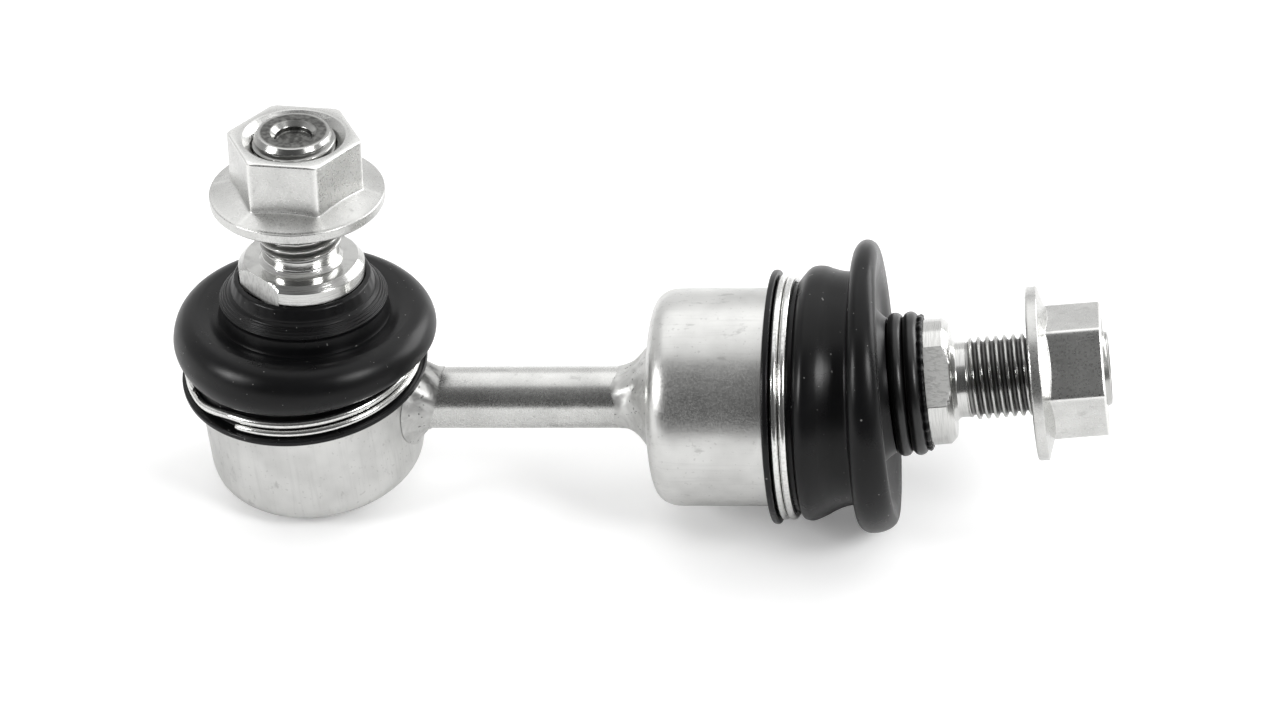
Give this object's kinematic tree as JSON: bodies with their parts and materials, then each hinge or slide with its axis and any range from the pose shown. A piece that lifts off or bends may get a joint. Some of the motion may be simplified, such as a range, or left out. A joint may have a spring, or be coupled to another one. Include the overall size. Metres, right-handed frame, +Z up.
{
  "type": "stabilizer link",
  "caption": "Short stabilizer link: a welded rod joins an upright ball joint and an in-line ball joint, each with a rubber boot, threaded stud and flange nut.",
  "frame": {"origin": "on the left stud's axis, where its full thread starts", "axes": "+Z up with the link lying as pictured, +X along the link from the upright joint to the in-line joint"},
  "size_m": [0.1364, 0.0423, 0.0583],
  "materials": {
    "zinc_cup": "bright zinc-plated drawn steel",
    "zinc_rod": "bright zinc-plated drawn bar",
    "weld_bead": "zinc-plated weld bead",
    "seat_resin": "moulded acetal",
    "retainer_steel": "stamped steel",
    "stud_steel": "turned and rolled steel",
    "nut_zinc": "bright zinc-plated cold-formed steel",
    "boot_rubber": "satin moulded rubber",
    "clip_wire": "bright spring wire",
    "neck_wire": "black oxide spring wire"
  },
  "bodies": {
    "link": {"link_rod": "zinc_rod", "left_weld": "weld_bead", "right_weld": "weld_bead", "left_housing": "zinc_cup", "left_lower_seat": "seat_resin", "left_upper_seat": "seat_resin", "left_retainer": "retainer_steel", "left_clip_ring": "clip_wire", "right_housing": "zinc_cup", "right_lower_seat": "seat_resin", "right_upper_seat": "seat_resin", "right_retainer": "retainer_steel", "right_clip_ring": "clip_wire"},
    "left_boot": {"left_boot": "boot_rubber"},
    "left_neck": {"left_neck_ring": "neck_wire"},
    "left_stud": {"left_stud": "stud_steel"},
    "left_nut": {"left_nut": "nut_zinc"},
    "right_boot": {"right_boot": "boot_rubber"},
    "right_neck": {"right_neck_ring": "neck_wire"},
    "right_stud": {"right_stud": "stud_steel"},
    "right_nut": {"right_nut": "nut_zinc"}
  },
  "joints": [
    {"name": "left_swing", "type": "hinge", "parent": "link", "child": "left_boot", "pos_m": [0.00062, -0.00282, -0.02513], "axis": [0, 1, 0], "range_deg": [-21.9, 14.1], "deforming": ["left_boot"]},
    {"name": "left_sway", "type": "hinge", "parent": "left_boot", "child": "left_neck", "pos_m": [0.00062, -0.00282, -0.02513], "axis": [0.9997, 0, 0.0245], "range_deg": [-11.6, 24.4], "deforming": ["left_boot"]},
    {"name": "left_spin", "type": "hinge", "parent": "left_neck", "child": "left_stud", "pos_m": [0.00062, -0.00282, -0.02513], "axis": [-0.0243, 0.1115, 0.9935], "continuous": true},
    {"name": "left_nut_travel", "type": "slide", "parent": "left_stud", "child": "left_nut", "axis": [-0.0243, 0.1115, 0.9935], "range_m": [-0.0093, 0.03]},
    {"name": "right_swing", "type": "hinge", "parent": "link", "child": "right_boot", "pos_m": [0.06468, -0.00282, -0.02069], "axis": [0, 1, 0], "range_deg": [-15.2, 20.8], "deforming": ["right_boot"]},
    {"name": "right_sway", "type": "hinge", "parent": "right_boot", "child": "right_neck", "pos_m": [0.06468, -0.00282, -0.02069], "axis": [0.141, 0, -0.99], "range_deg": [-14.4, 21.6], "deforming": ["right_boot"]},
    {"name": "right_spin", "type": "hinge", "parent": "right_neck", "child": "right_stud", "pos_m": [0.06468, -0.00282, -0.02069], "axis": [0.9881, 0.0628, 0.1407], "continuous": true},
    {"name": "right_nut_travel", "type": "slide", "parent": "right_stud", "child": "right_nut", "axis": [0.9881, 0.0628, 0.1407], "range_m": [-0.0111, 0.03]}
  ]
}
